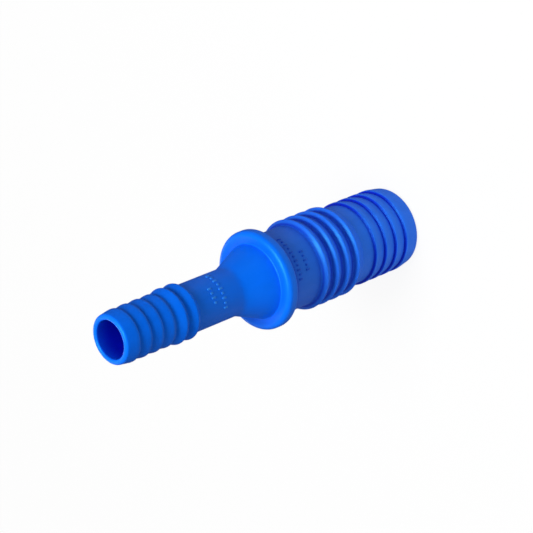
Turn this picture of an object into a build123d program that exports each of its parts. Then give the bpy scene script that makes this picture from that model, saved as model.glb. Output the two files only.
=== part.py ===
"""Reducing union: a one-piece moulded insert fitting that joins a large pipe to a small one.

All sizes are in millimetres. The fitting stands on its large open end, its axis is +Z, and the
origin is the centre of the large open end. The section of the wall is drawn in the XZ plane,
with the radius along X and the height along Z, and is turned once round the Z axis.
"""

import os
from math import atan, cos

from build123d import *

# Large spigot: plain tube, and the wall round its bore
large_tube_diameter = 26.2
large_wall = 2.2
large_lip_outer_rounding = 1.25
large_lip_inner_rounding = 0.4

# Large spigot: saw-tooth barbs, counted up from the open end
large_nose_length = 6.3
large_barb_count = 4
large_barb_height = 0.81
large_barb_pitch = 4.87
large_barb_land = 1.4
large_barb_step = 0.3

# Large spigot: plain stretch between the barbs and the rings
large_land_length = 5.2

# Large spigot: sealing rings, each with its steep flank towards the flange
large_ring_count = 4
large_ring_height = 1.9
large_ring_pitch = 4.8
large_ring_steep_flank = 1.2
large_ring_crest_rounding = 0.5
large_ring_groove_rounding = 1.1
large_ring_foot_rounding = 1.2

# Large spigot: plain stretch between the rings and the flange
large_neck_length = 13.14

# Flange that both pipes stop against, with a rounded rim that stands proud of the cone's foot
flange_overhang = 2.96
flange_rim_height = 4.1
flange_dish_depth = 0.4
flange_front_rounding = 1.6
flange_back_rounding = 0.9
flange_root_rounding = 0.5

# Cone from the flange down to the small spigot
cone_inset = 0.95
cone_length = 11.15
cone_wall = 2.2
cone_foot_rounding = 0.5
cone_neck_rounding = 5.6
cone_bore_rounding = 2.0

# Small spigot: plain tube, and the wall round its bore
small_tube_diameter = 15.48
small_wall = 1.69
small_neck_length = 18.8
small_lip_inner_rounding = 0.68
small_lip_flat = 0.02

# Small spigot: saw-tooth barbs, counted down from the open end
small_nose_length = 4.8
small_barb_count = 4
small_barb_height = 0.61
small_barb_pitch = 4.56
small_barb_land = 0.7
small_barb_step = 0.5
small_barb_crest_rounding = 0.4

# Small spigot: fuller rings behind the barbs, at the same pitch
small_ring_count = 2
small_ring_height = 1.31
small_ring_steep_flank = 1.2
small_ring_crest_rounding = 0.9
small_ring_groove_rounding = 0.6

# Depth to which each ridge is drawn into the wall that it stands on
ridge_seat = 0.5

# Radii, from the middle of the fitting outwards
large_tube = large_tube_diameter / 2
large_bore = large_tube - large_wall
large_barb = large_tube + large_barb_height
large_ring = large_tube + large_ring_height
flange = large_tube + flange_overhang
cone_foot = large_tube - cone_inset
small_tube = small_tube_diameter / 2
small_bore = small_tube - small_wall
small_barb = small_tube + small_barb_height
small_ring = small_tube + small_ring_height

# Heights on the large spigot, from the open end up to the flange
large_barb_crests = [large_nose_length + i * large_barb_pitch for i in range(large_barb_count)]
large_ring_foot = large_barb_crests[-1] + large_barb_step + large_land_length
large_first_ring = large_ring_foot + large_ring_pitch - large_ring_steep_flank
large_ring_crests = [large_first_ring + i * large_ring_pitch for i in range(large_ring_count)]
flange_back = large_ring_crests[-1] + large_ring_steep_flank + large_neck_length

# Heights on the flange and the cone
flange_front = flange_back + flange_rim_height
cone_base = flange_front - flange_dish_depth
cone_top = cone_base + cone_length

# Heights on the small spigot, from the cone up to the open end
small_first_ring = cone_top + small_neck_length + small_ring_steep_flank
small_ring_crests = [small_first_ring + i * small_barb_pitch for i in range(small_ring_count)]
small_first_barb = small_ring_crests[-1] + small_barb_pitch
small_barb_crests = [small_first_barb + i * small_barb_pitch for i in range(small_barb_count)]
overall_length = small_barb_crests[-1] + small_nose_length

# The bore widens inside the cone, at an even wall
cone_slope = (cone_foot - small_tube) / cone_length
cone_wall_across = cone_wall / cos(atan(cone_slope))
bore_narrow_end = cone_top - (cone_wall_across - small_wall) / cone_slope
bore_wide_end = bore_narrow_end - (large_bore - small_bore) / cone_slope

# The small open end has a full round lip
small_lip_outer_rounding = small_wall - small_lip_inner_rounding - small_lip_flat


def ridge(root, outline):
    """Add a ridge of the given outline to the open sketch, closed inside the wall at its root."""
    (_, start), (_, end) = outline[0], outline[-1]
    seat = root - ridge_seat
    Polygon((seat, start), *outline, (seat, end), align=None)


def corner(sketch, radius, height):
    """Find the corner of the sketch that lies at a radius and a height."""
    return sketch.vertices().sort_by_distance(Vector(radius, height))[0]


with BuildPart() as reducing_union:
    with BuildSketch(Plane.XZ) as wall:
        # Wall of both tubes, the flange and the cone, with the nose of each spigot
        with BuildLine():
            Polyline(
                (large_bore, 0),
                (large_tube, 0),
                (large_barb, large_nose_length - large_barb_land),
                (large_barb, large_nose_length),
                (large_tube, large_nose_length + large_barb_step),
                (large_tube, flange_back),
                (flange, flange_back),
                (flange, flange_front),
                (cone_foot, cone_base),
                (small_tube, cone_top),
                (small_tube, small_barb_crests[-1] - small_barb_step),
                (small_barb, small_barb_crests[-1]),
                (small_barb, small_barb_crests[-1] + small_barb_land),
                (small_tube, overall_length),
                (small_bore, overall_length),
                (small_bore, bore_narrow_end),
                (large_bore, bore_wide_end),
                close=True,
            )
        make_face()

        # Large barbs behind the nose: each steep back faces the flange
        for crest in large_barb_crests[1:]:
            ridge(
                large_tube,
                [
                    (large_tube, crest + large_barb_step),
                    (large_barb, crest),
                    (large_barb, crest - large_barb_land),
                    (large_tube, crest + large_barb_step - large_barb_pitch),
                ],
            )

        # Large rings: the flanks of two neighbours meet in a groove
        for crest in large_ring_crests:
            ridge(
                large_tube,
                [
                    (large_tube, crest + large_ring_steep_flank),
                    (large_ring, crest),
                    (large_tube, crest + large_ring_steep_flank - large_ring_pitch),
                ],
            )

        # Small barbs behind the nose: each steep back faces the flange
        for crest in small_barb_crests[:-1]:
            ridge(
                small_tube,
                [
                    (small_tube, crest - small_barb_step),
                    (small_barb, crest),
                    (small_barb, crest + small_barb_land),
                    (small_tube, crest - small_barb_step + small_barb_pitch),
                ],
            )

        # Small rings: fuller and rounder than the barbs
        for crest in small_ring_crests:
            ridge(
                small_tube,
                [
                    (small_tube, crest - small_ring_steep_flank),
                    (small_ring, crest),
                    (small_tube, crest - small_ring_steep_flank + small_barb_pitch),
                ],
            )

        # Round the crest of each ring and the groove on its flange side
        for crest in large_ring_crests:
            groove = crest + large_ring_steep_flank
            fillet(corner(wall, large_ring, crest), radius=large_ring_crest_rounding)
            fillet(corner(wall, large_tube, groove), radius=large_ring_groove_rounding)
        for crest in small_ring_crests:
            groove = crest - small_ring_steep_flank
            fillet(corner(wall, small_ring, crest), radius=small_ring_crest_rounding)
            fillet(corner(wall, small_tube, groove), radius=small_ring_groove_rounding)
        fillet(corner(wall, large_tube, large_ring_foot), radius=large_ring_foot_rounding)

        # Round the small barbs where a hose slides back over them
        for crest in small_barb_crests:
            fillet(corner(wall, small_barb, crest), radius=small_barb_crest_rounding)

        # Round the flange and the cone, outside and in the bore
        fillet(corner(wall, large_tube, flange_back), radius=flange_root_rounding)
        fillet(corner(wall, flange, flange_back), radius=flange_back_rounding)
        fillet(corner(wall, flange, flange_front), radius=flange_front_rounding)
        fillet(corner(wall, cone_foot, cone_base), radius=cone_foot_rounding)
        fillet(corner(wall, small_tube, cone_top), radius=cone_neck_rounding)
        fillet(corner(wall, small_bore, bore_narrow_end), radius=cone_bore_rounding)
        fillet(corner(wall, large_bore, bore_wide_end), radius=cone_bore_rounding)

        # Round the lips of both open ends
        fillet(corner(wall, large_tube, 0), radius=large_lip_outer_rounding)
        fillet(corner(wall, large_bore, 0), radius=large_lip_inner_rounding)
        fillet(corner(wall, small_tube, overall_length), radius=small_lip_outer_rounding)
        fillet(corner(wall, small_bore, overall_length), radius=small_lip_inner_rounding)
    revolve(axis=Axis.Z)

reducing_union.part.label = "reducing_union"

os.makedirs("parts", exist_ok=True)
export_step(reducing_union.part, "parts/reducing_union.step")
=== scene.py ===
"""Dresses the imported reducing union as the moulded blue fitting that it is, and lights it.

The fitting is one moulding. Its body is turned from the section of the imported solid, with the
small roundings that a mould leaves on its edges, and each of its two plain necks carries a few
raised bars. Every length is in metres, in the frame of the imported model: the fitting stands on
its large open end, and its bore runs up +Z.
"""

from __future__ import annotations

import logging
import math
from dataclasses import dataclass, field
from enum import Enum

import bmesh
import bpy
from mathutils import Matrix, Vector

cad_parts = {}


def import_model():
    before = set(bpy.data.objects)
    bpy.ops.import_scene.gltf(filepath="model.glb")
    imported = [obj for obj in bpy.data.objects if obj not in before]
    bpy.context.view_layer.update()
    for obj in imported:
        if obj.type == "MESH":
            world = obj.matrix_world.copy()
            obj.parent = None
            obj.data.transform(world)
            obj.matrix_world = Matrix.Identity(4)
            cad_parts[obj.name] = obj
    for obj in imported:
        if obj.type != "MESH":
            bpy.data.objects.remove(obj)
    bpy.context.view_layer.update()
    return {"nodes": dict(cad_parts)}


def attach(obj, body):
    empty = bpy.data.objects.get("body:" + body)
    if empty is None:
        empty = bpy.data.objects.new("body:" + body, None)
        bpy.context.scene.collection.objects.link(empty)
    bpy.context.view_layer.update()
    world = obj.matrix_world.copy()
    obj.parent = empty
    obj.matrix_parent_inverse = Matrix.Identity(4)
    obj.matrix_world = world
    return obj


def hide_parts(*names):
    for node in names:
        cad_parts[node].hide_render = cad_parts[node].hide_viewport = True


LOG = logging.getLogger("reducing_union")
MM = 0.001
IMAGE_SIDE = 533.0
FITTING_NODE = "reducing_union"
BODY = "root"
ORIGIN = (0.0, 0.0, 0.0)
AXIS = (0.0, 0.0, 1.0)
SECTION_NORMAL = (0.0, 1.0, 0.0)
RISE = (0.0, 1.0)
FADE = (1.0, 0.0)

Colour = tuple[float, float, float, float]
Source = bpy.types.NodeSocket | float
WHITE: Colour = (1.0, 1.0, 1.0, 1.0)


@dataclass(frozen=True)
class PhotoCamera:
    """The camera that saw the fitting, as angles and pixels of the square photograph.

    It is aimed by one point of the fitting's axis, known by its height and by its pixel.
    """

    tilt_from_axis: float = math.radians(49.78)
    axis_rise: float = math.radians(21.97)
    focal_px: float = 1933.0
    distance: float = 603.1 * MM
    aim_height: float = 55.32 * MM
    aim_px: tuple[float, float] = (269.84, 274.77)
    sensor_mm: float = 36.0

    def axes(self) -> tuple[Vector, Vector, Vector]:
        """Find the camera's right, up and forward directions.

        Returns:
            Three unit vectors in the frame of the model.
        """
        elevation = math.pi / 2 - self.tilt_from_axis
        forward = Vector((0.0, math.cos(elevation), -math.sin(elevation)))
        level_right = Vector((1.0, 0.0, 0.0))
        level_up = level_right.cross(forward)
        roll = -(math.pi / 2 + self.axis_rise)
        right = level_right * math.cos(roll) + level_up * math.sin(roll)
        up = level_up * math.cos(roll) - level_right * math.sin(roll)
        return right, up, forward

    def build(self) -> None:
        """Make the camera and set it as the scene's own."""
        right, up, forward = self.axes()
        middle = IMAGE_SIDE / 2
        across = (self.aim_px[0] - middle) / self.focal_px * self.distance
        above = (middle - self.aim_px[1]) / self.focal_px * self.distance
        aim = Vector((0.0, 0.0, self.aim_height))
        place = aim - forward * self.distance - right * across - up * above
        data = bpy.data.cameras.new("photo_camera")
        data.sensor_width = self.sensor_mm
        data.lens = self.focal_px / IMAGE_SIDE * self.sensor_mm
        camera = bpy.data.objects.new("photo_camera", data)
        turn = Matrix((right, up, -forward)).transposed().to_4x4()
        camera.matrix_world = Matrix.Translation(place) @ turn
        bpy.context.collection.objects.link(camera)
        bpy.context.scene.camera = camera


@dataclass(frozen=True)
class Softbox:
    """One soft square lamp, hung round the fitting by its bearing and its height."""

    name: str
    bearing: float
    elevation: float
    side: float
    power: float
    distance: float = 0.9

    def build(self, aim: Vector) -> None:
        """Hang the lamp and turn it to the fitting.

        Args:
            aim: The point that the lamp faces.
        """
        data = bpy.data.lights.new(self.name, "AREA")
        data.shape = "SQUARE"
        data.size = self.side
        data.energy = self.power
        lamp = bpy.data.objects.new(self.name, data)
        level = math.cos(self.elevation)
        across = level * math.sin(self.bearing)
        nearer = -level * math.cos(self.bearing)
        away = Vector((across, nearer, math.sin(self.elevation)))
        lamp.location = aim + away * self.distance
        lamp.rotation_euler = away.to_track_quat("Z", "Y").to_euler()
        bpy.context.collection.objects.link(lamp)


class MathStep(Enum):
    """What a node does with its numbers."""

    ADD = "ADD"
    SUBTRACT = "SUBTRACT"
    MULTIPLY = "MULTIPLY"
    MULTIPLY_ADD = "MULTIPLY_ADD"
    DIVIDE = "DIVIDE"
    LARGER = "MAXIMUM"


class Change(Enum):
    """Ways in which one result goes over into another."""

    STRAIGHT = "LINEAR"
    SOFT = "SMOOTHSTEP"


def feed(tree: bpy.types.NodeTree, socket: bpy.types.NodeSocket, source: Source) -> None:
    """Link an input to another socket, or set it to a plain number.

    Args:
        tree: The node tree.
        socket: The input.
        source: The socket or the number that it takes.
    """
    if isinstance(source, bpy.types.NodeSocket):
        tree.links.new(source, socket)
    else:
        socket.default_value = source


def add_math(
    tree: bpy.types.NodeTree, step: MathStep, *sources: Source, clamped: bool = False
) -> bpy.types.NodeSocket:
    """Add a node that works out one number from others.

    Args:
        tree: The node tree.
        step: What it does with them.
        *sources: The numbers or sockets, in order.
        clamped: Whether the result stays between 0 and 1.

    Returns:
        The socket that holds the result.
    """
    node = tree.nodes.new("ShaderNodeMath")
    node.operation = step.value
    node.use_clamp = clamped
    for socket, source in zip(node.inputs, sources):
        feed(tree, socket, source)
    return node.outputs["Value"]


def add_change(
    tree: bpy.types.NodeTree,
    value: Source,
    span: tuple[Source, Source],
    results: tuple[Source, Source],
    change: Change = Change.SOFT,
) -> bpy.types.NodeSocket:
    """Add a node that goes from one result to another while a value crosses a span.

    Args:
        tree: The node tree.
        value: The value.
        span: Where the change begins and where it ends.
        results: The result before the span and the one past it.
        change: How it goes over.

    Returns:
        The socket that holds the result.
    """
    node = tree.nodes.new("ShaderNodeMapRange")
    node.interpolation_type = change.value
    names = ("Value", "From Min", "From Max", "To Min", "To Max")
    for name, source in zip(names, (value, *span, *results)):
        feed(tree, node.inputs[name], source)
    return node.outputs["Result"]


def add_mix(
    tree: bpy.types.NodeTree,
    share: Source,
    first: bpy.types.NodeSocket,
    second: bpy.types.NodeSocket,
) -> bpy.types.NodeSocket:
    """Add a node that mixes two colours.

    Args:
        tree: The node tree.
        share: The share of the second colour.
        first: The colour at a share of 0.
        second: The colour at a share of 1.

    Returns:
        The socket that holds the mixed colour.
    """
    node = tree.nodes.new("ShaderNodeMix")
    node.data_type = "RGBA"
    for name, source in (("Factor", share), ("A", first), ("B", second)):
        feed(tree, node.inputs[name], source)
    return node.outputs["Result"]


def add_length(tree: bpy.types.NodeTree, vector: bpy.types.NodeSocket) -> bpy.types.NodeSocket:
    """Add a node that measures how long a vector is."""
    node = tree.nodes.new("ShaderNodeVectorMath")
    node.operation = "LENGTH"
    tree.links.new(vector, node.inputs[0])
    return node.outputs["Value"]


def add_height(tree: bpy.types.NodeTree, vector: bpy.types.NodeSocket) -> bpy.types.NodeSocket:
    """Add a node that keeps only how far up a vector goes."""
    node = tree.nodes.new("ShaderNodeSeparateXYZ")
    tree.links.new(vector, node.inputs["Vector"])
    return node.outputs["Z"]


class SeenRay(Enum):
    """Rays that show the white surroundings themselves, not the light that they give."""

    CAMERA = "Is Camera Ray"
    GLOSSY = "Is Glossy Ray"
    TRANSMISSION = "Is Transmission Ray"


GLOSSY_WHITE = 0.05
WHITE_SHARES = {SeenRay.CAMERA: 1.0, SeenRay.GLOSSY: GLOSSY_WHITE, SeenRay.TRANSMISSION: 1.0}


def seen_share(tree: bpy.types.NodeTree) -> bpy.types.NodeSocket:
    """Add the nodes that tell how white a ray sees the surroundings.

    Args:
        tree: The material's or the world's node tree.

    Returns:
        A socket that is 1 for the camera's rays, less for glossy ones and 0 for diffuse ones.
    """
    path = tree.nodes.new("ShaderNodeLightPath")
    total: Source = 0.0
    for ray, share in WHITE_SHARES.items():
        seen = path.outputs[ray.value]
        total = add_math(tree, MathStep.MULTIPLY_ADD, seen, share, total, clamped=True)
    return total


@dataclass(frozen=True)
class WhiteFloor:
    """A floor that shows white with a faint shadow, and lights the fitting only from close by."""

    side: float = 6.0
    colour: Colour = (0.8, 0.8, 0.8, 1.0)
    near_white: float = 0.9
    far_white: float = 1.0
    white_reach: tuple[float, float] = (200.0 * MM, 600.0 * MM)
    glow: float = 1.1
    glow_reach: tuple[float, float] = (60.0 * MM, 250.0 * MM)

    @staticmethod
    def by_distance(
        tree: bpy.types.NodeTree, reach: tuple[float, float], values: tuple[float, float]
    ) -> bpy.types.NodeSocket:
        """Add the nodes that turn one value into another away from the fitting's foot.

        Args:
            tree: The floor's node tree.
            reach: The distances at which the change begins and ends.
            values: The value at the foot and the one far from it.

        Returns:
            A socket that holds the value.
        """
        place = tree.nodes.new("ShaderNodeTexCoord")
        return add_change(tree, add_length(tree, place.outputs["Object"]), reach, values)

    def unshined_glow(self, tree: bpy.types.NodeTree) -> bpy.types.NodeSocket:
        """Add the nodes that give the glow's strength, with none for glossy rays.

        Args:
            tree: The floor's node tree.

        Returns:
            A socket that holds the strength.
        """
        path = tree.nodes.new("ShaderNodeLightPath")
        unshined = add_math(tree, MathStep.SUBTRACT, 1.0, path.outputs[SeenRay.GLOSSY.value])
        strength = self.by_distance(tree, self.glow_reach, (self.glow, 0.0))
        return add_math(tree, MathStep.MULTIPLY, strength, unshined)

    def material(self) -> bpy.types.Material:
        """Make the floor's white.

        Returns:
            The material.
        """
        material = bpy.data.materials.new("floor_white")
        material.use_nodes = True
        tree = material.node_tree
        tree.nodes.clear()
        output = tree.nodes.new("ShaderNodeOutputMaterial")
        shadowed = tree.nodes.new("ShaderNodeBsdfDiffuse")
        white = tree.nodes.new("ShaderNodeEmission")
        glow = tree.nodes.new("ShaderNodeEmission")
        shown = tree.nodes.new("ShaderNodeMixShader")
        either = tree.nodes.new("ShaderNodeMixShader")
        shadowed.inputs["Color"].default_value = self.colour
        whites = (self.near_white, self.far_white)
        whiteness = self.by_distance(tree, self.white_reach, whites)
        tree.links.new(whiteness, shown.inputs["Fac"])
        tree.links.new(self.unshined_glow(tree), glow.inputs["Strength"])
        tree.links.new(shadowed.outputs["BSDF"], shown.inputs[1])
        tree.links.new(white.outputs["Emission"], shown.inputs[2])
        tree.links.new(seen_share(tree), either.inputs["Fac"])
        tree.links.new(glow.outputs["Emission"], either.inputs[1])
        tree.links.new(shown.outputs["Shader"], either.inputs[2])
        tree.links.new(either.outputs["Shader"], output.inputs["Surface"])
        return material

    def build(self) -> None:
        """Lay the floor under the fitting."""
        bpy.ops.mesh.primitive_plane_add(size=self.side)
        floor = bpy.context.object
        floor.name = "studio_floor"
        floor.data.materials.append(self.material())


@dataclass(frozen=True)
class Studio:
    """White floor, white surroundings and soft lamps."""

    floor: WhiteFloor = WhiteFloor()
    world_light: float = 0.22
    softboxes: tuple[Softbox, ...] = (
        Softbox("key_softbox", math.radians(45), math.radians(72), side=0.3, power=5.2),
        Softbox("high_softbox", math.radians(0), math.radians(72), side=0.3, power=1.2),
        Softbox("top_softbox", math.radians(0), math.radians(84), side=0.3, power=2.6),
        Softbox("right_softbox", math.radians(50), math.radians(5), side=0.6, power=0.4),
        Softbox("left_softbox", math.radians(-50), math.radians(30), side=0.6, power=0.9),
        Softbox("back_softbox", math.radians(180), math.radians(3), side=0.4, power=2.0),
    )

    def build_world(self) -> None:
        """Give the surroundings a faint light, and white wherever they are seen."""
        world = bpy.data.worlds.new("white_surroundings")
        world.use_nodes = True
        tree = world.node_tree
        levels = (self.world_light, 1.0)
        strength = add_change(tree, seen_share(tree), RISE, levels, Change.STRAIGHT)
        background = tree.nodes["Background"]
        background.inputs["Color"].default_value = WHITE
        tree.links.new(strength, background.inputs["Strength"])
        bpy.context.scene.world = world

    def build(self, aim: Vector) -> None:
        """Set up the floor, the surroundings and the lamps.

        Args:
            aim: The point that the lamps face.
        """
        self.floor.build()
        self.build_world()
        for softbox in self.softboxes:
            softbox.build(aim)
        bpy.context.scene.view_settings.view_transform = "Standard"


class GroupSocket(Enum):
    """Sockets that the surface effects share, each with its label and its kind."""

    POSITION = ("Position", "NodeSocketVector")
    FACING = ("Facing", "NodeSocketVector")
    COLOUR = ("Colour", "NodeSocketColor")
    PAINTED_LOW_COLOUR = ("Painted Low Colour", "NodeSocketColor")
    PAINTED_SHADE_COLOUR = ("Painted Shade Colour", "NodeSocketColor")
    LOW_HEIGHT = ("Low Height", "NodeSocketFloat")
    HIGH_HEIGHT = ("High Height", "NodeSocketFloat")
    REACH = ("Reach", "NodeSocketFloat")
    ROUGHNESS = ("Roughness", "NodeSocketFloat")
    GRAIN_SIZE = ("Grain Size", "NodeSocketFloat")
    MOTTLE = ("Mottle", "NodeSocketFloat")
    HEIGHT = ("Height", "NodeSocketFloat")

    def __init__(self, label: str, kind: str) -> None:
        """Keep the label and the kind apart."""
        self.label = label
        self.kind = kind


def new_group(
    name: str, inputs: tuple[GroupSocket, ...], outputs: tuple[GroupSocket, ...]
) -> bpy.types.NodeTree:
    """Make an empty node group with named inputs and outputs.

    Args:
        name: The group's name.
        inputs: What it takes in.
        outputs: What it gives out.

    Returns:
        The node group.
    """
    group = bpy.data.node_groups.new(name, "ShaderNodeTree")
    for direction, sockets in (("INPUT", inputs), ("OUTPUT", outputs)):
        for socket in sockets:
            group.interface.new_socket(socket.label, in_out=direction, socket_type=socket.kind)
    return group


@dataclass(frozen=True)
class PaintedShadeAndReflection:
    """Painted light in the plastic's blue: a violet painted reflection of the white floor low on
    the fitting, and a navy painted shade deep in a groove.

    How deep a point lies is told from the share of its surroundings that it sees. The painted shade
    is full at the closed share, which has its own value for each half of the fitting, and
    the blue stays plain at the open one. On the low half, only what lies inside the crests of the
    rings or faces down takes the painted shade.
    """

    name: str = "painted_shade_and_reflection"
    low_closed: float = 0.8
    high_closed: float = 0.3
    open_share: float = 0.93
    facing_span: tuple[float, float] = (-0.1, 0.35)
    crest_span: tuple[float, float] = (13.5 * MM, 14.3 * MM)
    level_only: tuple[float, float, float] = (1.0, 1.0, 0.0)

    @staticmethod
    def height_share(group: bpy.types.NodeTree, given: bpy.types.Node) -> bpy.types.NodeSocket:
        """Add the nodes that tell the low half of the fitting from the high one.

        Args:
            group: The node group.
            given: The group's input node.

        Returns:
            A socket that is 0 on the low half and 1 on the high one.
        """
        height = add_height(group, given.outputs[GroupSocket.POSITION.label])
        low = given.outputs[GroupSocket.LOW_HEIGHT.label]
        high = given.outputs[GroupSocket.HIGH_HEIGHT.label]
        return add_change(group, height, (low, high), RISE)

    def shaded_share(
        self, group: bpy.types.NodeTree, given: bpy.types.Node, high: bpy.types.NodeSocket
    ) -> bpy.types.NodeSocket:
        """Add the nodes that keep the painted shade off the crests on the low half of the fitting.

        Args:
            group: The node group.
            given: The group's input node.
            high: The socket that is 1 on the high half.

        Returns:
            A socket that is 1 where the painted shade may fall and 0 where it may not.
        """
        level = group.nodes.new("ShaderNodeVectorMath")
        level.operation = "MULTIPLY"
        level.inputs[1].default_value = self.level_only
        group.links.new(given.outputs[GroupSocket.POSITION.label], level.inputs[0])
        radius = add_length(group, level.outputs["Vector"])
        facing = add_height(group, given.outputs[GroupSocket.FACING.label])
        turned = add_change(group, facing, self.facing_span, FADE)
        sunk = add_change(group, radius, self.crest_span, FADE)
        free = add_math(group, MathStep.LARGER, turned, high)
        return add_math(group, MathStep.LARGER, sunk, free)

    def build(self) -> bpy.types.NodeTree:
        """Make the group once, and hand out the same one after that.

        Returns:
            The node group.
        """
        if self.name in bpy.data.node_groups:
            return bpy.data.node_groups[self.name]
        inputs = (
            GroupSocket.POSITION,
            GroupSocket.FACING,
            GroupSocket.COLOUR,
            GroupSocket.PAINTED_LOW_COLOUR,
            GroupSocket.PAINTED_SHADE_COLOUR,
            GroupSocket.LOW_HEIGHT,
            GroupSocket.HIGH_HEIGHT,
            GroupSocket.REACH,
        )
        group = new_group(self.name, inputs, (GroupSocket.COLOUR,))
        given = group.nodes.new("NodeGroupInput")
        result = group.nodes.new("NodeGroupOutput")
        # Painted shade: ambient occlusion darkens the blue towards the painted shade colour in
        # grooves, creases and undersides.
        seen = group.nodes.new("ShaderNodeAmbientOcclusion")
        seen.only_local = True
        group.links.new(given.outputs[GroupSocket.REACH.label], seen.inputs["Distance"])

        high = self.height_share(group, given)
        halves = (self.low_closed, self.high_closed)
        closed_share = add_change(group, high, RISE, halves, Change.STRAIGHT)
        # depth is the share of painted shade, from none in the open to full where little is seen.
        depth = add_change(group, seen.outputs["AO"], (closed_share, self.open_share), FADE)
        painted_shade_share = add_math(group, MathStep.MULTIPLY, depth, self.shaded_share(group, given, high))

        # Painted reflection: the low half turns to the violet painted low colour, which stands in
        # for the white floor's reflection.
        painted_low_colour = given.outputs[GroupSocket.PAINTED_LOW_COLOUR.label]
        plain = add_mix(group, high, painted_low_colour, given.outputs[GroupSocket.COLOUR.label])
        blue = add_mix(group, painted_shade_share, plain, given.outputs[GroupSocket.PAINTED_SHADE_COLOUR.label])
        group.links.new(blue, result.inputs[GroupSocket.COLOUR.label])
        return group


@dataclass(frozen=True)
class MouldGrain:
    """The fine grain that a mould leaves, with the faint clouding of pigment in the plastic."""

    name: str = "mould_grain"
    cloud_share: float = 0.12
    streak_stretch: float = 0.2
    grain_detail: float = 3.0
    cloud_detail: float = 2.0
    noise_middle: float = 0.5

    @staticmethod
    def noise(
        group: bpy.types.NodeTree,
        position: bpy.types.NodeSocket,
        density: bpy.types.NodeSocket,
        detail: float,
    ) -> bpy.types.NodeSocket:
        """Add a noise texture.

        Args:
            group: The node group.
            position: Where the noise is read.
            density: How many swells it has to the metre.
            detail: How many finer layers it has.

        Returns:
            The socket that holds the noise.
        """
        texture = group.nodes.new("ShaderNodeTexNoise")
        texture.inputs["Detail"].default_value = detail
        group.links.new(position, texture.inputs["Vector"])
        group.links.new(density, texture.inputs["Scale"])
        return texture.outputs["Fac"]

    def build(self) -> bpy.types.NodeTree:
        """Make the group once, and hand out the same one after that.

        Returns:
            The node group.
        """
        if self.name in bpy.data.node_groups:
            return bpy.data.node_groups[self.name]
        inputs = (
            GroupSocket.POSITION,
            GroupSocket.COLOUR,
            GroupSocket.ROUGHNESS,
            GroupSocket.GRAIN_SIZE,
            GroupSocket.MOTTLE,
        )
        outputs = (GroupSocket.COLOUR, GroupSocket.ROUGHNESS, GroupSocket.HEIGHT)
        group = new_group(self.name, inputs, outputs)
        nodes, links = group.nodes, group.links
        given = nodes.new("NodeGroupInput")
        result = nodes.new("NodeGroupOutput")
        position = given.outputs[GroupSocket.POSITION.label]
        grain_size = given.outputs[GroupSocket.GRAIN_SIZE.label]
        density = add_math(group, MathStep.DIVIDE, 1.0, grain_size)
        grain = self.noise(group, position, density, self.grain_detail)
        links.new(grain, result.inputs[GroupSocket.HEIGHT.label])

        flow = nodes.new("ShaderNodeMapping")
        flow.inputs["Scale"].default_value = (1.0, 1.0, self.streak_stretch)
        links.new(position, flow.inputs["Vector"])
        cloud_density = add_math(group, MathStep.MULTIPLY, density, self.cloud_share)
        clouds = self.noise(group, flow.outputs["Vector"], cloud_density, self.cloud_detail)
        centred = add_math(group, MathStep.SUBTRACT, clouds, self.noise_middle)
        mottle = given.outputs[GroupSocket.MOTTLE.label]
        swing = add_math(group, MathStep.MULTIPLY, centred, mottle)

        tint = nodes.new("ShaderNodeVectorMath")
        tint.operation = "SCALE"
        links.new(given.outputs[GroupSocket.COLOUR.label], tint.inputs["Vector"])
        links.new(add_math(group, MathStep.ADD, swing, 1.0), tint.inputs["Scale"])
        links.new(tint.outputs["Vector"], result.inputs[GroupSocket.COLOUR.label])

        roughness = given.outputs[GroupSocket.ROUGHNESS.label]
        sheen = add_math(group, MathStep.ADD, roughness, swing, clamped=True)
        links.new(sheen, result.inputs[GroupSocket.ROUGHNESS.label])
        return group


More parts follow.
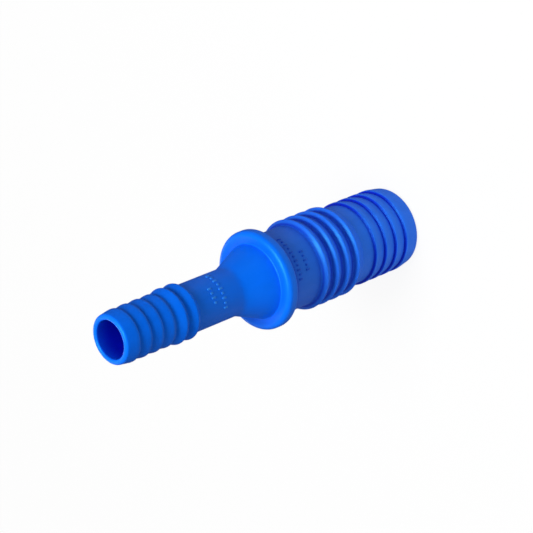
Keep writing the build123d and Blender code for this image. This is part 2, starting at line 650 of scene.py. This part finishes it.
@dataclass(frozen=True)
class MouldedPlastic:
    """Satin polypropylene, coloured through, as it comes out of its mould."""

    name: str
    colour: Colour = (0.001, 0.15, 0.94, 1.0)
    # The painted low colour is a violet painted reflection of the white floor on the low half; the
    # painted shade colour is the navy painted shade of grooves and undersides.
    painted_low_colour: Colour = (0.016, 0.143, 0.87, 1.0)
    painted_shade_colour: Colour = (0.001, 0.004, 0.58, 1.0)
    gloss_tint: Colour = (0.12, 0.9, 1.0, 1.0)
    low_height: float = 56.0 * MM
    high_height: float = 62.0 * MM
    groove_reach: float = 14.0 * MM
    roughness: float = 0.4
    grain_size: float = 0.45 * MM
    grain_depth: float = 0.04 * MM
    mottle: float = 0.16
    refraction: float = 1.49

    @staticmethod
    def place_group(
        tree: bpy.types.NodeTree,
        group: bpy.types.NodeTree,
        values: dict[GroupSocket, float | Colour],
    ) -> bpy.types.Node:
        """Place a surface effect in the material and give it this finish's own values.

        Args:
            tree: The material's node tree.
            group: The effect's node group.
            values: The value of each input that isn't linked.

        Returns:
            The effect's node.
        """
        node = tree.nodes.new("ShaderNodeGroup")
        node.node_tree = group
        for socket, value in values.items():
            node.inputs[socket.label].default_value = value
        return node

    def build(self) -> bpy.types.Material:
        """Make the material.

        Returns:
            The material, with the mould's grain in its colour, gloss and relief, and painted shade
            and a painted reflection in its colour.
        """
        material = bpy.data.materials.new(self.name)
        material.use_nodes = True
        tree = material.node_tree
        nodes, links = tree.nodes, tree.links
        shader = nodes["Principled BSDF"]
        shader.inputs["IOR"].default_value = self.refraction
        shader.inputs["Specular Tint"].default_value = self.gloss_tint
        place = nodes.new("ShaderNodeTexCoord")
        painted_light_values = {
            GroupSocket.COLOUR: self.colour,
            GroupSocket.PAINTED_LOW_COLOUR: self.painted_low_colour,
            GroupSocket.PAINTED_SHADE_COLOUR: self.painted_shade_colour,
            GroupSocket.LOW_HEIGHT: self.low_height,
            GroupSocket.HIGH_HEIGHT: self.high_height,
            GroupSocket.REACH: self.groove_reach,
        }
        grain_values = {
            GroupSocket.ROUGHNESS: self.roughness,
            GroupSocket.GRAIN_SIZE: self.grain_size,
            GroupSocket.MOTTLE: self.mottle,
        }
        # The pigment node paints shade and a reflection into the base colour; it is not a pigment
        # of the plastic.
        pigment = self.place_group(tree, PaintedShadeAndReflection().build(), painted_light_values)
        grain = self.place_group(tree, MouldGrain().build(), grain_values)
        bump = nodes.new("ShaderNodeBump")
        bump.inputs["Distance"].default_value = self.grain_depth
        position, colour = GroupSocket.POSITION.label, GroupSocket.COLOUR.label
        links.new(place.outputs["Object"], pigment.inputs[position])
        links.new(place.outputs["Normal"], pigment.inputs[GroupSocket.FACING.label])
        links.new(place.outputs["Object"], grain.inputs[position])
        links.new(pigment.outputs[colour], grain.inputs[colour])
        links.new(grain.outputs[colour], shader.inputs["Base Color"])
        links.new(grain.outputs[GroupSocket.ROUGHNESS.label], shader.inputs["Roughness"])
        links.new(grain.outputs[GroupSocket.HEIGHT.label], bump.inputs["Height"])
        links.new(bump.outputs["Normal"], shader.inputs["Normal"])
        return material


class Rounded(Enum):
    """What a rounding takes off: the corners of an outline or the edges of a solid."""

    CORNERS = "VERTICES"
    EDGES = "EDGES"


def round_off(
    mesh: bmesh.types.BMesh,
    rounded: Rounded,
    parts: list[bmesh.types.BMVert] | list[bmesh.types.BMEdge],
    offset: float,
    segments: int,
) -> None:
    """Round corners or edges.

    Args:
        mesh: The shape, changed in place.
        rounded: Whether the parts are corners or edges.
        parts: The corners or edges.
        offset: How far from each one its rounding begins.
        segments: How many facets it has.
    """
    bmesh.ops.bevel(
        mesh,
        geom=parts,
        offset=offset,
        offset_type="OFFSET",
        affect=rounded.value,
        segments=segments,
        profile=0.5,
        material=-1,
    )


def finish_piece(
    mesh: bmesh.types.BMesh, name: str, material: bpy.types.Material
) -> bpy.types.Object:
    """Turn a finished bmesh into a smooth piece that rides with the fitting.

    Args:
        mesh: The closed shape, in the frame of the model. It is freed.
        name: The piece's name.
        material: The piece's finish.

    Returns:
        The piece.
    """
    bmesh.ops.recalc_face_normals(mesh, faces=mesh.faces[:])
    for face in mesh.faces:
        face.smooth = True
    data = bpy.data.meshes.new(name)
    mesh.to_mesh(data)
    mesh.free()
    data.materials.append(material)
    piece = bpy.data.objects.new(name, data)
    bpy.context.collection.objects.link(piece)
    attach(piece, BODY)
    return piece


@dataclass(frozen=True)
class PlainStretch:
    """A plain round stretch of the fitting, outside or in its bore."""

    radius: float
    low: float
    high: float

    @property
    def middle(self) -> float:
        """Height half-way along the stretch."""
        return (self.low + self.high) / 2


@dataclass
class TurnedBody:
    """The fitting's one moulding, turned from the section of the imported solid."""

    node: bpy.types.Object
    turn_steps: int = 180
    merge_distance: float = 0.001 * MM
    cut_tolerance: float = 0.0001 * MM
    straight_turn: float = math.radians(0.3)
    sharp_turn: float = math.radians(9.0)
    edge_rounding: float = 0.14 * MM
    edge_segments: int = 4
    outside_stride: float = 0.9 * MM
    bore_stride: float = 5.0 * MM
    neck_length: float = 10.0 * MM
    stretches: list[PlainStretch] = field(init=False)

    def __post_init__(self) -> None:
        """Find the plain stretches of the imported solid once."""
        self.stretches = self.plain_stretches()

    @staticmethod
    def turn_at(vertex: bmesh.types.BMVert) -> float:
        """Angle by which the outline turns at one of its points."""
        before, after = (edge.other_vert(vertex).co - vertex.co for edge in vertex.link_edges)
        return math.pi - before.angle(after)

    def cut_outline(self) -> bmesh.types.BMesh:
        """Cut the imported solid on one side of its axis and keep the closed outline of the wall.

        Returns:
            The outline, in the half plane of +X and Z, with no point on a straight stretch.
        """
        mesh = bmesh.new()
        mesh.from_mesh(self.node.data)
        bmesh.ops.remove_doubles(mesh, verts=mesh.verts[:], dist=self.merge_distance)
        parts = mesh.verts[:] + mesh.edges[:] + mesh.faces[:]
        cut = bmesh.ops.bisect_plane(
            mesh,
            geom=parts,
            dist=self.cut_tolerance,
            plane_co=ORIGIN,
            plane_no=SECTION_NORMAL,
        )
        edges = [part for part in cut["geom_cut"] if isinstance(part, bmesh.types.BMEdge)]
        outline = {edge for edge in edges if min(vertex.co.x for vertex in edge.verts) > 0}
        bmesh.ops.delete(mesh, geom=mesh.faces[:], context="FACES_ONLY")
        spare = [edge for edge in mesh.edges if edge not in outline]
        bmesh.ops.delete(mesh, geom=spare, context="EDGES")
        loose = [vertex for vertex in mesh.verts if not vertex.link_edges]
        bmesh.ops.delete(mesh, geom=loose, context="VERTS")
        straight = [vertex for vertex in mesh.verts if self.turn_at(vertex) < self.straight_turn]
        bmesh.ops.dissolve_verts(mesh, verts=straight)
        return mesh

    def plain_stretches(self) -> list[PlainStretch]:
        """Find the long straight stretches along the axis, inside and outside.

        Returns:
            The stretches, from the lowest up.
        """
        outline = self.cut_outline()
        stretches = []
        for edge in outline.edges:
            ends = [vertex.co for vertex in edge.verts]
            low, high = sorted(end.z for end in ends)
            if high - low > self.neck_length and abs(ends[0].x - ends[1].x) < self.merge_distance:
                stretches.append(PlainStretch(ends[0].x, low, high))
        outline.free()
        return sorted(stretches, key=lambda stretch: stretch.low)

    def necks(self) -> list[PlainStretch]:
        """Find the plain necks, which are the stretches that have a bore inside them.

        Returns:
            The large neck and the small one.
        """
        return [
            neck
            for neck in self.stretches
            if any(
                bore.radius < neck.radius and bore.low < neck.middle < bore.high
                for bore in self.stretches
            )
        ]

    def divide(self, outline: bmesh.types.BMesh) -> None:
        """Divide the long stretches of the outline, so that the shading stays even.

        Args:
            outline: The outline, changed in place.
        """
        necks = self.necks()
        bore_radii = [stretch.radius for stretch in self.stretches if stretch not in necks]
        for edge in outline.edges[:]:
            middle = sum(vertex.co.x for vertex in edge.verts) / 2
            in_bore = any(abs(middle - radius) < self.merge_distance for radius in bore_radii)
            stride = self.bore_stride if in_bore else self.outside_stride
            cuts = math.ceil(edge.calc_length() / stride) - 1
            if cuts > 0:
                bmesh.ops.subdivide_edges(outline, edges=[edge], cuts=cuts)

    def build(self, material: bpy.types.Material) -> bpy.types.Object:
        """Round the outline's corners, turn it once round the axis and close it.

        Args:
            material: The body's finish.

        Returns:
            The body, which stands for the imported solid.
        """
        mesh = self.cut_outline()
        corners = [vertex for vertex in mesh.verts if self.turn_at(vertex) > self.sharp_turn]
        round_off(mesh, Rounded.CORNERS, corners, self.edge_rounding, self.edge_segments)
        self.divide(mesh)
        bmesh.ops.spin(
            mesh,
            geom=mesh.verts[:] + mesh.edges[:],
            cent=ORIGIN,
            axis=AXIS,
            angle=math.tau,
            steps=self.turn_steps,
            use_merge=True,
            use_duplicate=False,
        )
        bmesh.ops.remove_doubles(mesh, verts=mesh.verts[:], dist=self.merge_distance)
        body = finish_piece(mesh, "moulded_body", material)
        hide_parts(FITTING_NODE)
        return body


@dataclass(frozen=True)
class MarkRow:
    """One row of raised bars round a neck."""

    rise_from_middle: float
    first_bearing: float
    count: int


SMALL_NECK_ROWS = (
    MarkRow(rise_from_middle=-1.6 * MM, first_bearing=math.radians(58), count=9),
    MarkRow(rise_from_middle=2.2 * MM, first_bearing=math.radians(22), count=4),
)
LARGE_NECK_ROWS = (
    MarkRow(rise_from_middle=2.4 * MM, first_bearing=math.radians(44), count=11),
    MarkRow(rise_from_middle=-1.2 * MM, first_bearing=math.radians(14), count=5),
)


@dataclass
class NeckMarks:
    """Plain raised bars that the mould leaves on a neck."""

    name: str
    neck: PlainStretch
    rows: tuple[MarkRow, ...]
    pitch: float = 1.5 * MM
    bar_length: float = 1.4 * MM
    short_share: float = 0.6
    bar_width: float = 0.6 * MM
    relief: float = 0.25 * MM
    seat: float = 0.15 * MM
    edge_rounding: float = 0.08 * MM
    edge_segments: int = 2

    def add_bar(
        self, mesh: bmesh.types.BMesh, height: float, bearing: float, length: float
    ) -> None:
        """Add one bar, which lies along the axis and is set into the neck.

        Args:
            mesh: The marks so far, changed in place.
            height: Height of the bar's middle.
            bearing: Angle round the axis, from the camera's side towards +X.
            length: The bar's own length.
        """
        made = bmesh.ops.create_cube(mesh, size=1.0)["verts"]
        depth = self.relief + self.seat
        bmesh.ops.scale(mesh, verts=made, vec=(self.bar_width, depth, length))
        outwards = self.neck.radius + self.relief - depth / 2
        bmesh.ops.translate(mesh, verts=made, vec=(0.0, -outwards, height))
        turn = Matrix.Rotation(bearing, 3, "Z")
        bmesh.ops.rotate(mesh, verts=made, cent=ORIGIN, matrix=turn)

    def build(self, material: bpy.types.Material) -> bpy.types.Object:
        """Make the bars of every row and round their edges.

        Args:
            material: The marks' finish.

        Returns:
            All the marks of this neck as one piece.
        """
        mesh = bmesh.new()
        step = self.pitch / self.neck.radius
        for row in self.rows:
            height = self.neck.middle + row.rise_from_middle
            for index in range(row.count):
                bearing = row.first_bearing - index * step
                length = self.bar_length * (self.short_share if index % 2 else 1.0)
                self.add_bar(mesh, height, bearing, length)
        round_off(mesh, Rounded.EDGES, mesh.edges[:], self.edge_rounding, self.edge_segments)
        return finish_piece(mesh, self.name, material)


def main() -> None:
    """Build the camera, the studio and the dressed fitting in that order, and report each piece."""
    logging.basicConfig(level=logging.INFO, format="%(name)s: %(message)s")
    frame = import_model()
    camera = PhotoCamera()
    camera.build()
    Studio().build(Vector((0.0, 0.0, camera.aim_height)))

    body_blue = MouldedPlastic("moulded_blue").build()
    # A lighter copy of the blue: a painted highlight on the small neck's raised bars.
    painted_highlight_blue = MouldedPlastic(
        "moulded_blue_painted_highlight_marks",
        colour=(0.03, 0.27, 0.95, 1.0),
        painted_shade_colour=(0.02, 0.2, 0.95, 1.0),
        grain_size=0.3 * MM,
    ).build()
    # A darker copy of the blue: painted shade on the large neck's bars under the flange.
    painted_shade_blue = MouldedPlastic(
        "moulded_blue_painted_shade_marks",
        painted_low_colour=(0.01, 0.09, 0.75, 1.0),
        painted_shade_colour=(0.002, 0.05, 0.65, 1.0),
        grain_size=0.3 * MM,
    ).build()

    body = TurnedBody(frame["nodes"][FITTING_NODE])
    large_neck, small_neck = body.necks()
    pieces = (
        body.build(body_blue),
        NeckMarks("small_neck_marks", small_neck, SMALL_NECK_ROWS).build(painted_highlight_blue),
        NeckMarks("large_neck_marks", large_neck, LARGE_NECK_ROWS).build(painted_shade_blue),
    )
    for piece in pieces:
        LOG.info("%s: %d faces", piece.name, len(piece.data.polygons))


if __name__ == "__main__":
    main()
